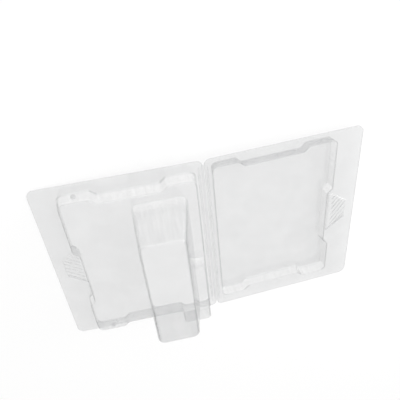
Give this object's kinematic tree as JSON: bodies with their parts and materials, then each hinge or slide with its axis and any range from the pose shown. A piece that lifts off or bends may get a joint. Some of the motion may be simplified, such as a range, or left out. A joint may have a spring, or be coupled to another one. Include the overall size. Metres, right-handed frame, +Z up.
{
  "type": "clamshell pack",
  "caption": "Clear thermoformed clamshell pack lying open: a flanged half with a shallow waisted block and a tall tower, joined along a fold to a flanged half with a matching recessed plug",
  "frame": {"origin": "middle of the flat underside of the plug, which the open pack lies on", "axes": "+Z up out of the surface it lies on; +Y along the fold; +X across the pack from the blister half to the lid half"},
  "size_m": [0.2318, 0.15, 0.053],
  "materials": {
    "clear_film": "clear glossy thermoformed film, colourless with a faint cool tint at its edges"
  },
  "bodies": {
    "blister": {"blister_half": "clear_film"},
    "lid": {"lid_half": "clear_film"}
  },
  "joints": [
    {"name": "fold", "type": "hinge", "parent": "blister", "child": "lid", "pos_m": [-0.052, 0, 0.00785], "axis": [0, 1, 0], "range_deg": [-3.95, 176.04]}
  ]
}
